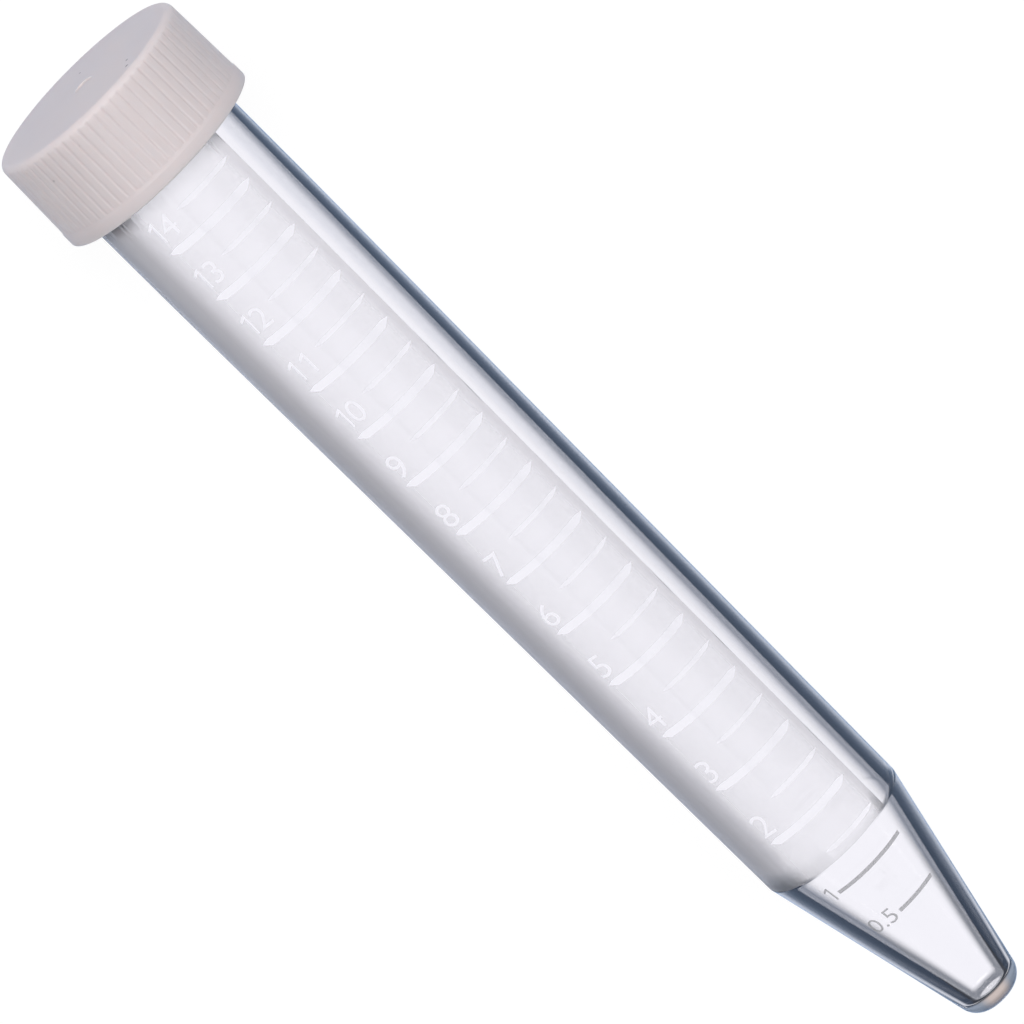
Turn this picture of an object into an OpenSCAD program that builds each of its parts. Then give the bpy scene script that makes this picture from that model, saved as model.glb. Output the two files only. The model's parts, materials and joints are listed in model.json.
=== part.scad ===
// Conical screw-cap laboratory tube, 15 ml, lying on its side.
// It is two moulded pieces: a clear tapered tube and a ribbed screw cap.
// Each piece is drawn upright, with its tip at z = 0 and the cap on top, and is
// then laid down so that it rests on the cap's band and on the tube's shoulder.
// Frame: +Z up, floor at z = 0, the cap towards -X and the tip towards +X.
// The origin is the middle of the object's footprint on the floor.

/* [Overall] */
// Length of the closed tube, cap included
overall_l = 120; // [90:1:150]

/* [Tube outside] */
// Diameter of the straight collar just below the cap
collar_d = 16.6; // [12:0.1:20]
// Length of the straight collar, down from the neck
collar_l = 10; // [2:1:30]
// How much the barrel's radius narrows from the collar to the shoulder
barrel_taper = 0.5; // [0.1:0.05:1]
// Height of the cone, from the tip to the barrel
cone_h = 22.8; // [15:0.1:35]
// Diameter at which the cone's side would meet the flat tip
tip_d = 5.8; // [5:0.1:8]
// Rounding of the tip's edge
tip_round = 2; // [0.5:0.1:2.4]
// Rounding of the shoulder between barrel and cone
shoulder_round = 0.5; // [0.1:0.1:2]

/* [Tube walls] */
// Wall of the neck, from the thread's root to the mouth
neck_wall = 0.5; // [0.4:0.05:1.2]
// Wall of the barrel at the shoulder, thicker than at the neck
shoulder_wall = 1.3; // [0.8:0.05:2]
// Wall of the cone at the level of the inner floor
tip_wall = 1.4; // [0.8:0.05:1.6]
// Thickness of plastic under the inner floor
floor_t = 1.6; // [0.8:0.1:3]
// Rounding between the inner cone and its floor
floor_round = 0.7; // [0.2:0.1:0.9]
// Rounding of the mouth's rim
rim_round = 0.2; // [0.05:0.05:0.4]

/* [Neck] */
// How far the neck is set in from the collar
neck_step = 0.2; // [0.2:0.05:0.5]
// Length of neck under the cap, from the plate to the collar
neck_l = 8.3; // [6:0.1:20]
// Depth of the straight seat in the mouth that takes the cap's plug
plug_seat_l = 4; // [3:0.5:10]

/* [Cap outside] */
// Height of the cap
cap_h = 9.4; // [8.5:0.1:22]
// Thickness of the cap's top plate
plate_t = 1.3; // [0.8:0.1:3]
// Wall of the skirt at the smooth band round its open end
band_wall = 1.5; // [1.2:0.05:3]
// Height of the smooth band
band_h = 1.35; // [0.8:0.05:4]
// How far the ribs are set in from the band, just above it
rib_step = 0.08; // [0.02:0.02:0.2]
// How much the ribbed side's radius narrows from the band to the top
rib_taper = 0.2; // [0.05:0.05:0.5]
// Rounding between the ribbed side and the top face
top_round = 0.7; // [0.3:0.1:1.2]
// Rounding of the band's lower edge
edge_round = 0.3; // [0.1:0.05:0.5]
// Diameter of the gate mark in the middle of the top face
gate_d = 2; // [1:0.1:4]
// Depth of the gate mark
gate_depth = 0.15; // [0.05:0.05:0.4]

/* [Cap ribs] */
// Number of ribs, and of grooves between them, round the cap
rib_count = 72; // [24:1:90]
// Depth of the grooves
groove_depth = 0.2; // [0.1:0.05:0.4]
// Radius of a groove's round section
groove_r = 0.25; // [0.2:0.05:0.4]
// Height of the plain strip between the band and the grooves
groove_land = 0.15; // [0.05:0.05:0.5]

/* [Cap inside] */
// Length of the plug that closes the bore
plug_l = 2.4; // [1:0.1:3]
// Thickness of the plug's ring
plug_t = 0.8; // [0.5:0.1:1.5]
// Height of the tapered end of the plug
plug_lead = 0.6; // [0.2:0.1:0.9]
// How much the plug's radius narrows over that end
plug_nose = 0.25; // [0.1:0.05:0.4]
// Bevel inside the skirt's open end
skirt_lead = 0.4; // [0.1:0.1:0.6]

/* [Fits] */
// Radial clearance between the plug and the mouth
plug_clearance = 0.1; // [0.05:0.05:0.3]
// Gap between the mouth's rim and the cap's plate
rim_clearance = 0.1; // [0.05:0.05:0.3]
// Radial room between the neck and the skirt, which the screw thread fills
thread_room = 1; // [0.5:0.05:1.5]

/* [Hidden] */
revolve_fn = 180;
groove_fn = 24;
// Length by which a cutting shape passes the face that it cuts
past = 1;
// Largest turn, in degrees, between two points of a rounding
arc_step = 10;
// Largest share of the neck's wall that each rounding of the rim may take
rim_share = 0.4;

// Levels along the axis, measured from the tip
skirt_z = overall_l - cap_h;
band_z = skirt_z + band_h;
plate_z = overall_l - plate_t;
plug_z = plate_z - plug_l;
rim_z = plate_z - rim_clearance;
seat_z = rim_z - plug_seat_l;
neck_z = plate_z - neck_l;
collar_z = neck_z - collar_l;

// Radii of the tube
collar_r = collar_d / 2;
neck_r = collar_r - neck_step;
mouth_r = neck_r - neck_wall;
shoulder_r = collar_r - barrel_taper;
bore_r = shoulder_r - shoulder_wall;
tip_r = tip_d / 2;
rim_edge = min(rim_round, rim_share * neck_wall);

// Radii of the cap
plug_r = mouth_r - plug_clearance;
skirt_r = neck_r + thread_room;
band_r = skirt_r + band_wall;
rib_low_r = band_r - rib_step;
rib_top_r = rib_low_r - rib_taper;

// How far each wall leans out from the axis
cone_lean = atan((shoulder_r - tip_r) / cone_h);
barrel_lean = atan(barrel_taper / (collar_z - cone_h));
rib_lean = atan(rib_taper / (overall_l - band_z));

// The inner floor, narrower than the cone's outside at the same level
floor_r = tip_r + floor_t * tan(cone_lean) - tip_wall;
bore_lean = atan((bore_r - floor_r) / (cone_h - floor_t));

// Points [radius, level] of a rounding of radius q about c, between two angles
function arc(c, q, from, to) =
    let (n = max(1, ceil(abs(to - from) / arc_step)))
    [for (i = [0 : n])
        let (turn = from + (to - from) * i / n)
        c + q * [cos(turn), sin(turn)]];

// Radius at which the centre of a rounding q lies, where a level face of
// radius r meets a wall that leans outwards, away from that face
function round_centre(r, lean, q) = r - q * (1 - sin(lean)) / cos(lean);

tip_centre = [round_centre(tip_r, cone_lean, tip_round), tip_round];
floor_centre = [round_centre(floor_r, bore_lean, floor_round), floor_t + floor_round];
top_centre = [round_centre(rib_top_r, rib_lean, top_round), overall_l - top_round];
edge_centre = [band_r - edge_round, skirt_z + edge_round];

// The shoulder's rounding touches the cone below it and the barrel above it
shoulder_normal = (cone_lean + barrel_lean) / 2;
shoulder_inset = shoulder_round / cos((cone_lean - barrel_lean) / 2);
shoulder_centre = [shoulder_r, cone_h]
    + shoulder_inset * [-cos(shoulder_normal), sin(shoulder_normal)];

// The axis tilts until the band's edge and the shoulder touch one level floor
rest_gap = edge_centre - shoulder_centre;
lie_tilt = atan(rest_gap[0] / rest_gap[1])
    + asin((edge_round - shoulder_round) / norm(rest_gap));
lie_z = shoulder_centre[0] * cos(lie_tilt) - shoulder_centre[1] * sin(lie_tilt)
    + shoulder_round;
cap_reach = top_centre[1] * cos(lie_tilt) + top_centre[0] * sin(lie_tilt) + top_round;
tip_reach = tip_centre[1] * cos(lie_tilt) - tip_centre[0] * sin(lie_tilt) - tip_round;
lie_x = (cap_reach + tip_reach) / 2;

// Lays an upright piece down on the floor, its cap end towards -X
module lay() {
    translate([lie_x, 0, lie_z])
        rotate([0, lie_tilt - 90, 0])
            children();
}

// Half section of the tube: up the outside, over the rim and down the bore
module tube_section() {
    polygon(concat(
        [[0, 0]],
        arc(tip_centre, tip_round, -90, -cone_lean),
        arc(shoulder_centre, shoulder_round, -cone_lean, -barrel_lean),
        [[collar_r, collar_z], [collar_r, neck_z], [neck_r, neck_z]],
        arc([neck_r - rim_edge, rim_z - rim_edge], rim_edge, 0, 90),
        arc([mouth_r + rim_edge, rim_z - rim_edge], rim_edge, 90, 180),
        [[mouth_r, seat_z], [bore_r, cone_h]],
        arc(floor_centre, floor_round, -bore_lean, -90),
        [[0, floor_t]]
    ));
}

// Half section of the cap before its grooves: down the outside, round the
// skirt's open end, and up inside the skirt to the plate and its plug
module cap_section() {
    polygon(concat(
        [[0, overall_l - gate_depth], [gate_d / 2, overall_l - gate_depth],
         [gate_d / 2, overall_l]],
        arc(top_centre, top_round, 90, rib_lean),
        [[rib_low_r, band_z], [band_r, band_z]],
        arc(edge_centre, edge_round, 0, -90),
        [[skirt_r + skirt_lead, skirt_z], [skirt_r, skirt_z + skirt_lead],
         [skirt_r, plate_z],
         [plug_r, plate_z], [plug_r, plug_z + plug_lead],
         [plug_r - plug_nose, plug_z], [plug_r - plug_t, plug_z],
         [plug_r - plug_t, plate_z], [0, plate_z]]
    ));
}

// One groove's cutting shape: a round bar that leans with the ribbed side
module groove() {
    translate([rib_low_r - groove_depth + groove_r, 0, band_z + groove_land])
        rotate([0, -rib_lean, 0])
            cylinder(h = cap_h + past, r = groove_r, $fn = groove_fn);
}

module tube() {
    color([0.86, 0.88, 0.92, 0.5])
        lay()
            rotate_extrude($fn = revolve_fn) tube_section();
}

module cap() {
    color([0.84, 0.8, 0.81])
        lay()
            difference() {
                rotate_extrude($fn = revolve_fn) cap_section();
                for (i = [0 : rib_count - 1])
                    rotate([0, 0, 360 * i / rib_count]) groove();
            }
}

tube();
cap();
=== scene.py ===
# %% [markdown]
# # A conical screw-cap tube in clear plastic
# This lesson builds a 15 ml laboratory tube that lies on a pale table. The real object is two
# mouldings, a clear tube and a pale screw cap, with a white scale printed on the tube's barrel.
# The sizes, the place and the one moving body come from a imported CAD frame, so the first step
# loads that frame. Everything after it is modelled in millimetres, standing upright on the tip,
# and laid down on the frame's own axis once it is finished.

# %% Load the frame
import json
import math
import bmesh
import bpy
from mathutils import Matrix, Vector


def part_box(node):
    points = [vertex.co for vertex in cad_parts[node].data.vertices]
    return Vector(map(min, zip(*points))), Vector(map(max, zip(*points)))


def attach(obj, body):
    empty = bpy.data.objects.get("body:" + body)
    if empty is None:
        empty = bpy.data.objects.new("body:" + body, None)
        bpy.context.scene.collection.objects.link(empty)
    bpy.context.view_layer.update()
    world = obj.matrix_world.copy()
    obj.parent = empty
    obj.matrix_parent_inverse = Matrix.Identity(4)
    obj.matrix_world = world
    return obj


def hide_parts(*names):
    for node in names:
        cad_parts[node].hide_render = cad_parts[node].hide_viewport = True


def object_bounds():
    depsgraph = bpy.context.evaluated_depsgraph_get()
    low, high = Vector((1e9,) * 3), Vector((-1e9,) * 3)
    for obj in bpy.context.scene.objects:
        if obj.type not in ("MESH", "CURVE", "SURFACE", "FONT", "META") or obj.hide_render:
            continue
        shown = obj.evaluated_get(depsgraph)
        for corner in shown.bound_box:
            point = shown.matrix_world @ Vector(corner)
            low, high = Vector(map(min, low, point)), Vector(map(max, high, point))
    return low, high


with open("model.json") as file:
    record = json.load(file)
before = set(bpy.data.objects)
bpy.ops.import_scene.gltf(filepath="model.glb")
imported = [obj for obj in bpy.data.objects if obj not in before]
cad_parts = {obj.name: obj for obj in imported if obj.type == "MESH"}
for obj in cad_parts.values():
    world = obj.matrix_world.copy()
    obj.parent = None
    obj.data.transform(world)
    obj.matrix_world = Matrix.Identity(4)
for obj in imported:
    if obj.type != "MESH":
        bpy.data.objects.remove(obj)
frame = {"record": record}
cad_low, cad_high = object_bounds()
record = frame["record"]
print("CAD box in mm:", [round(v * 1000, 2) for v in (*cad_low, *cad_high)])

# %% [markdown]
# ## Where the tube lies
# The frame holds the tube on its side, tilted a little because the cap is wider than the barrel.
# Two mounts say where its axis is: the straight collar below the cap, which a rack holds, and the
# cap's flat top. From them come the axis, the tip and the turn that lays an upright piece down.

# %% The axis, from the mounts
MM = 0.001
OVERALL_L = 120.0  # closed tube, tip to cap top, in millimetres

mounts = {mount["name"]: mount for mount in record["mounts"]}
collar_mount = mounts["rack_collar"]
top_mount = mounts["cap_top"]
collar_point = Vector(collar_mount["pos_m"])
to_cap = Vector(top_mount["axis"]).normalized()
top_centre = collar_point + to_cap * (Vector(top_mount["pos_m"]) - collar_point).dot(to_cap)
tip_point = top_centre - to_cap * OVERALL_L * MM
sideways = Vector((0, 1, 0))
upwards = sideways.cross(to_cap)
lie_turn = -math.acos(to_cap.z)
print("axis rises by", round(math.degrees(math.asin(to_cap.z)), 3), "degrees towards the cap")

# %% [markdown]
# ## Sizes of the two mouldings
# The collar's radius and length are the mount's own, and the cap's outer radius is half the width
# of its CAD box. The rest are the moulding's walls, steps and roundings, all in millimetres, with
# levels measured up from the tip.

# %% Sizes in millimetres
collar_r = collar_mount["dims"]["r_mm"]
collar_l = collar_mount["dims"]["length_mm"]
cap_low, cap_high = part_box("cap")
band_r = (cap_high.y - cap_low.y) / 2 / MM

barrel_taper = 0.5
cone_h = 22.8
tip_r = 2.9
tip_round = 2.0
shoulder_round = 0.5
shoulder_wall = 1.3
tip_wall = 1.4
floor_t = 1.6
floor_round = 0.7
neck_step = 0.2
neck_wall = 0.5
neck_l = 8.3
plug_seat_l = 4.0
rim_round = 0.2

cap_h = 9.4
plate_t = 1.3
band_h = 1.35
band_wall = 1.5
rib_step = 0.08
rib_taper = 0.2
top_round = 0.7
edge_round = 0.12
gate_r = 1.0
gate_depth = 0.15
plug_l = 2.4
plug_t = 0.8
plug_lead = 0.6
plug_nose = 0.25
skirt_lead = 0.4
plug_clearance = 0.1
rim_clearance = 0.1

# %% Levels and radii worked out from them
skirt_z = OVERALL_L - cap_h
band_z = skirt_z + band_h
plate_z = OVERALL_L - plate_t
plug_z = plate_z - plug_l
rim_z = plate_z - rim_clearance
seat_z = rim_z - plug_seat_l
neck_z = plate_z - neck_l
collar_z = neck_z - collar_l

neck_r = collar_r - neck_step
mouth_r = neck_r - neck_wall
shoulder_r = collar_r - barrel_taper
bore_r = shoulder_r - shoulder_wall
plug_r = mouth_r - plug_clearance
skirt_r = band_r - band_wall
rib_low_r = band_r - rib_step
rib_top_r = rib_low_r - rib_taper

cone_lean = math.atan((shoulder_r - tip_r) / cone_h)
barrel_lean = math.atan(barrel_taper / (collar_z - cone_h))
rib_lean = math.atan(rib_taper / (OVERALL_L - band_z))
floor_r = tip_r + floor_t * math.tan(cone_lean) - tip_wall
bore_lean = math.atan((bore_r - floor_r) / (cone_h - floor_t))
print("bore", bore_r, "to", round(mouth_r, 2), "mm, cap band", round(band_r, 2), "mm")


# %% [markdown]
# ## The camera
# The tube is seen from almost straight above through a long lens, turned so that it runs from the
# upper left to the lower right of the frame. The camera is built from the tube's own directions:
# it stands back from a point on the axis, leans a little towards the cap, and is rolled by about
# an eighth of a turn.

# %% Camera
VIEW_LEAN = math.radians(15.55)
VIEW_ROLL = math.radians(44.83)
VIEW_DISTANCE = 0.6796
AIM_LEVEL = 65.15
AIM_ASIDE = 0.07  # how far the aim is off the axis, in millimetres
LENS_MM = 267.8

aim_point = tip_point + (to_cap * AIM_LEVEL - sideways * AIM_ASIDE) * MM
view_back = upwards * math.cos(VIEW_LEAN) + to_cap * math.sin(VIEW_LEAN)
along_tube = -to_cap * math.cos(VIEW_LEAN) + upwards * math.sin(VIEW_LEAN)
view_right = along_tube * math.cos(VIEW_ROLL) + sideways * math.sin(VIEW_ROLL)
view_up = sideways * math.cos(VIEW_ROLL) - along_tube * math.sin(VIEW_ROLL)

camera_data = bpy.data.cameras.new("camera")
camera_data.lens = LENS_MM
camera_data.sensor_width = 36.0
camera_data.clip_start = 0.01
camera_data.clip_end = 20.0
camera = bpy.data.objects.new("camera", camera_data)
bpy.context.scene.collection.objects.link(camera)
camera.matrix_world = Matrix.Translation(aim_point + view_back * VIEW_DISTANCE) @ Matrix(
    (view_right, view_up, view_back)).transposed().to_4x4()
bpy.context.scene.camera = camera
print("camera at", [round(v, 3) for v in camera.location])


# %% [markdown]
# ## Helpers for turned shapes
# Both mouldings are bodies of revolution, so the main helper draws half a section as a chain of
# edges and spins it about the axis. An operator acts on all that is selected, so every step starts
# from a cleared selection. A second helper selects vertices by their place.

# %% Selecting and editing
def clear_selection():
    if bpy.context.object and bpy.context.object.mode != "OBJECT":
        bpy.ops.object.mode_set(mode="OBJECT")
    bpy.ops.object.select_all(action="DESELECT")


def edit(piece):
    clear_selection()
    piece.select_set(True)
    bpy.context.view_layer.objects.active = piece
    bpy.ops.object.mode_set(mode="EDIT")
    bpy.ops.mesh.select_mode(type="VERT")


def select_where(piece, test):
    """In edit mode, selects exactly the vertices whose place passes the test."""
    mesh = bmesh.from_edit_mesh(piece.data)
    for vertex in mesh.verts:
        vertex.select_set(test(vertex.co))
    mesh.select_flush_mode()
    bmesh.update_edit_mesh(piece.data)


def leave_edit():
    bpy.ops.object.mode_set(mode="OBJECT")


# %% Half sections
ARC_STEP = math.radians(6)


def arc(centre, q, start, end):
    """Points [radius, level] of a rounding of radius q about centre, between two angles."""
    steps = max(1, math.ceil(abs(end - start) / ARC_STEP))
    turns = [start + (end - start) * i / steps for i in range(steps + 1)]
    return [(centre[0] + q * math.cos(a), centre[1] + q * math.sin(a)) for a in turns]


def round_centre(r, lean, q):
    """Radius of a rounding's centre, where a level face of radius r meets a leaning wall."""
    return r - q * (1 - math.sin(lean)) / math.cos(lean)


SUPPORT = 0.25  # distance of a supporting ring from each end of a long straight wall


def supported(points):
    """Adds a ring near both ends of every long straight, so that shading stays true along it."""
    result = [points[0]]
    for (r0, z0), (r1, z1) in zip(points, points[1:]):
        length = math.hypot(r1 - r0, z1 - z0)
        if length > 4 * SUPPORT:
            for share in (SUPPORT / length, 1 - SUPPORT / length):
                result.append((r0 + (r1 - r0) * share, z0 + (z1 - z0) * share))
        result.append((r1, z1))
    return result


# %% Chains and spins
def draw_chain(name, points, closed=False):
    """A chain of edges in the XZ plane, grown from one vertex by extrusion."""
    clear_selection()
    bpy.ops.mesh.primitive_plane_add(size=1, location=(0, 0, 0))
    chain = bpy.context.object
    chain.name = name
    edit(chain)
    bpy.ops.mesh.select_all(action="SELECT")
    bpy.ops.mesh.merge(type="CENTER")
    bpy.ops.transform.translate(value=(points[0][0], 0, points[0][1]))
    for (r0, z0), (r1, z1) in zip(points, points[1:]):
        bpy.ops.mesh.extrude_region_move(
            TRANSFORM_OT_translate={"value": (r1 - r0, 0, z1 - z0)})
    if closed:
        bpy.ops.mesh.select_all(action="SELECT")
        bpy.ops.mesh.remove_doubles(threshold=1e-5)
    leave_edit()
    return chain


def turn(name, points, steps, angle=math.tau, closed=False):
    """Spins a half section about the upright axis. A full turn is welded shut, and the two ends
    of a shorter one, if its section is closed, are filled."""
    piece = draw_chain(name, points, closed)
    edit(piece)
    bpy.ops.mesh.select_all(action="SELECT")
    bpy.ops.mesh.spin(steps=steps, angle=-angle, center=(0, 0, 0), axis=(0, 0, 1))
    bpy.ops.mesh.select_all(action="SELECT")
    bpy.ops.mesh.remove_doubles(threshold=2e-4)
    if closed and angle < math.tau:
        fill_ends()
    bpy.ops.mesh.normals_make_consistent(inside=False)
    leave_edit()
    return piece


def fill_ends():
    """In edit mode, closes every open rim of the mesh with one face."""
    bpy.ops.mesh.select_all(action="DESELECT")
    bpy.ops.mesh.select_non_manifold()
    bpy.ops.mesh.fill_holes(sides=0)
    bpy.ops.mesh.select_all(action="SELECT")


# %% Modifiers, laying down and finishing
def apply_modifier(piece, kind, **settings):
    clear_selection()
    piece.select_set(True)
    bpy.context.view_layer.objects.active = piece
    bpy.ops.object.modifier_add(type=kind)
    modifier = piece.modifiers[-1]
    for key, value in settings.items():
        setattr(modifier, key, value)
    bpy.ops.object.modifier_apply(modifier=modifier.name)


def combine(piece, other, operation):
    """Joins the other shape to the piece, or cuts it out of it, and removes the other shape."""
    apply_modifier(piece, "BOOLEAN", operation=operation, solver="EXACT", object=other)
    bpy.data.objects.remove(other)
    edit(piece)
    bpy.ops.mesh.select_mode(type="FACE")
    bpy.ops.mesh.select_all(action="DESELECT")
    bpy.ops.mesh.select_face_by_sides(number=4, type="GREATER")
    bpy.ops.mesh.quads_convert_to_tris(ngon_method="BEAUTY")
    bpy.ops.mesh.select_mode(type="VERT")
    leave_edit()


def apply_place(piece):
    clear_selection()
    piece.select_set(True)
    bpy.context.view_layer.objects.active = piece
    bpy.ops.object.transform_apply(location=True, rotation=True, scale=True)


def lay_down(piece):
    """Brings an upright piece in millimetres to metres, lying on the frame's axis."""
    piece.matrix_world = (Matrix.Translation(tip_point)
                          @ Matrix.Rotation(lie_turn, 4, "Y")
                          @ Matrix.Scale(MM, 4))
    apply_place(piece)


def copy_to(piece, level):
    twin = piece.copy()
    twin.data = piece.data.copy()
    bpy.context.scene.collection.objects.link(twin)
    twin.location.z = level
    return twin


def take_shading(piece, plain):
    """Gives a cut piece the smooth shading of its uncut copy, which is then removed."""
    for each in (piece, plain):
        edit(each)
        leave_edit()
        bpy.ops.object.shade_smooth_by_angle(angle=CREASE)
    apply_modifier(piece, "DATA_TRANSFER", object=plain, use_loop_data=True,
                   data_types_loops={"CUSTOM_NORMAL"}, loop_mapping="POLYINTERP_NEAREST")
    bpy.data.objects.remove(plain)


CREASE = math.radians(32)  # edges that turn by more than this stay sharp


def finish_piece(piece, body, material, crease=CREASE):
    """Smooths the piece up to a crease, lays it down, and gives it its body, slot and material."""
    lay_down(piece)
    bpy.ops.object.shade_smooth_by_angle(angle=crease)
    piece.data.materials.clear()
    piece.data.materials.append(material)
    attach(piece, body)
    size = piece.dimensions / MM
    print(piece.name, len(piece.data.polygons), "faces,", [round(v, 2) for v in size], "mm")


# %% [markdown]
# ## Shader groups
# Two effects are shared. `moulded grain` is the faint unevenness of moulded plastic: a broad
# waviness, a fine grain, and a few scuffs that change the roughness. `speck` is one grain of dust
# at a given place, added to a mask. Each is a group with named inputs and outputs, built once.

# %% Node helpers
def add_node(tree, kind, place, **settings):
    node = tree.nodes.new(kind)
    node.location = place
    for key, value in settings.items():
        setattr(node, key, value)
    return node


def new_group(name, inputs, outputs):
    group = bpy.data.node_groups.new(name, "ShaderNodeTree")
    for label, kind, value in inputs:
        socket = group.interface.new_socket(name=label, in_out="INPUT", socket_type=kind)
        if value is not None:
            socket.default_value = value
    for label, kind in outputs:
        group.interface.new_socket(name=label, in_out="OUTPUT", socket_type=kind)
    return group


FLOAT, COLOUR, VECTOR = "NodeSocketFloat", "NodeSocketColor", "NodeSocketVector"


# %% Moulded grain
def build_grain_group():
    group = new_group(
        "moulded grain",
        [("Vector", VECTOR, None), ("Wave Size", FLOAT, 0.004), ("Grain Size", FLOAT, 0.0002),
         ("Grain Share", FLOAT, 0.3), ("Roughness", FLOAT, 0.3), ("Scuff", FLOAT, 0.1)],
        [("Height", FLOAT), ("Roughness", FLOAT), ("Mottle", FLOAT)])
    source = add_node(group, "NodeGroupInput", (-900, 0))
    result = add_node(group, "NodeGroupOutput", (900, 0))
    link = group.links.new

    def noise(size_socket, detail, y):
        scale = add_node(group, "ShaderNodeMath", (-650, y), operation="DIVIDE")
        scale.inputs[0].default_value = 1.0
        link(source.outputs[size_socket], scale.inputs[1])
        texture = add_node(group, "ShaderNodeTexNoise", (-450, y))
        texture.inputs["Detail"].default_value = detail
        link(source.outputs["Vector"], texture.inputs["Vector"])
        link(scale.outputs[0], texture.inputs["Scale"])
        return texture.outputs["Fac"]

    wave = noise("Wave Size", 2.0, 300)
    grain = noise("Grain Size", 3.0, 0)
    height = add_node(group, "ShaderNodeMix", (-150, 200), data_type="FLOAT")
    link(source.outputs["Grain Share"], height.inputs["Factor"])
    link(wave, height.inputs["A"])
    link(grain, height.inputs["B"])
    link(height.outputs["Result"], result.inputs["Height"])

    scuffed = add_node(group, "ShaderNodeMapRange", (-150, -100))
    scuffed.inputs["From Min"].default_value = 0.5
    scuffed.inputs["From Max"].default_value = 0.8
    link(wave, scuffed.inputs["Value"])
    rough = add_node(group, "ShaderNodeMath", (150, -100), operation="MULTIPLY_ADD")
    link(scuffed.outputs["Result"], rough.inputs[0])
    link(source.outputs["Scuff"], rough.inputs[1])
    link(source.outputs["Roughness"], rough.inputs[2])
    link(rough.outputs[0], result.inputs["Roughness"])
    link(wave, result.inputs["Mottle"])
    return group


grain_group = build_grain_group()
print("group:", grain_group.name, [s.name for s in grain_group.interface.items_tree])


# %% Specks
def build_speck_group():
    """Adds one round speck at a place to a mask of specks."""
    group = new_group(
        "speck",
        [("Vector", VECTOR, None), ("Mask", FLOAT, 0.0), ("Centre", VECTOR, None),
         ("Size", FLOAT, 0.0001)],
        [("Mask", FLOAT)])
    source = add_node(group, "NodeGroupInput", (-600, 0))
    result = add_node(group, "NodeGroupOutput", (600, 0))
    away = add_node(group, "ShaderNodeVectorMath", (-350, 100), operation="DISTANCE")
    group.links.new(source.outputs["Vector"], away.inputs[0])
    group.links.new(source.outputs["Centre"], away.inputs[1])
    share = add_node(group, "ShaderNodeMath", (-150, 100), operation="DIVIDE")
    group.links.new(away.outputs["Value"], share.inputs[0])
    group.links.new(source.outputs["Size"], share.inputs[1])
    inside = add_node(group, "ShaderNodeMapRange", (50, 100), interpolation_type="SMOOTHSTEP")
    for label, value in (("From Min", 0.3), ("From Max", 1.0), ("To Min", 1.0), ("To Max", 0.0)):
        inside.inputs[label].default_value = value
    group.links.new(share.outputs[0], inside.inputs["Value"])
    either = add_node(group, "ShaderNodeMath", (300, 50), operation="MAXIMUM")
    group.links.new(inside.outputs["Result"], either.inputs[0])
    group.links.new(source.outputs["Mask"], either.inputs[1])
    group.links.new(either.outputs[0], result.inputs["Mask"])
    return group


speck_group = build_speck_group()
print("group:", speck_group.name)


# %% Grain in a material
def new_material(name):
    material = bpy.data.materials.new(name)
    material.use_nodes = True
    tree = material.node_tree
    shader = tree.nodes["Principled BSDF"]
    place = add_node(tree, "ShaderNodeTexCoord", (-1100, 0))
    return material, tree, shader, place.outputs["Object"]


def add_grain(tree, shader, place, strength, distance, **values):
    """Feeds the shader's roughness and normal from the grain group."""
    grain = add_node(tree, "ShaderNodeGroup", (-800, -200), node_tree=grain_group)
    tree.links.new(place, grain.inputs["Vector"])
    for label, value in values.items():
        grain.inputs[label.replace("_", " ")].default_value = value
    bump = add_node(tree, "ShaderNodeBump", (-350, -350))
    bump.inputs["Strength"].default_value = strength
    bump.inputs["Distance"].default_value = distance
    tree.links.new(grain.outputs["Height"], bump.inputs["Height"])
    tree.links.new(bump.outputs["Normal"], shader.inputs["Normal"])
    tree.links.new(grain.outputs["Roughness"], shader.inputs["Roughness"])
    return grain


# %% [markdown]
# ## Clear plastic
# The tube is polystyrene, as clear as glass and a little bluish. A Principled shader with full
# transmission bends light at each wall, and that bending draws the dark lines along the tube's
# edges. Lamp and bounce light goes straight through, by the Light Path node, so that the table
# under the tube stays bright and the print inside is lit.

# %% Clear plastic
def build_clear_plastic():
    material, tree, shader, place = new_material("clear_plastic")
    shader.inputs["Base Color"].default_value = (0.985, 0.988, 1.0, 1)
    shader.inputs["IOR"].default_value = 1.57
    shader.inputs["Transmission Weight"].default_value = 1.0
    add_grain(tree, shader, place, 0.008, 0.0001, Wave_Size=0.008, Grain_Size=0.0004,
              Grain_Share=0.02, Roughness=0.01, Scuff=0.03)
    path = add_node(tree, "ShaderNodeLightPath", (-300, 500))
    passing = add_node(tree, "ShaderNodeMath", (0, 450), operation="MAXIMUM")
    tree.links.new(path.outputs["Is Shadow Ray"], passing.inputs[0])
    tree.links.new(path.outputs["Is Diffuse Ray"], passing.inputs[1])
    open_air = add_node(tree, "ShaderNodeBsdfTransparent", (0, 250))
    open_air.inputs["Color"].default_value = (0.93, 0.94, 0.96, 1)
    either = add_node(tree, "ShaderNodeMixShader", (350, 200))
    tree.links.new(passing.outputs[0], either.inputs["Fac"])
    tree.links.new(shader.outputs["BSDF"], either.inputs[1])
    tree.links.new(open_air.outputs["BSDF"], either.inputs[2])
    output = tree.nodes["Material Output"]
    tree.links.new(either.outputs["Shader"], output.inputs["Surface"])
    return material


clear_plastic = build_clear_plastic()


# %% [markdown]
# ## The clear tube
# The tube is turned from one half section: out across the flat tip, up the cone and the tapering
# barrel, over the thin rim of the mouth, and down the bore to its small round floor. The walls
# are thicker at the cone than at the mouth, as the core that shapes the bore has its own taper.

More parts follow.
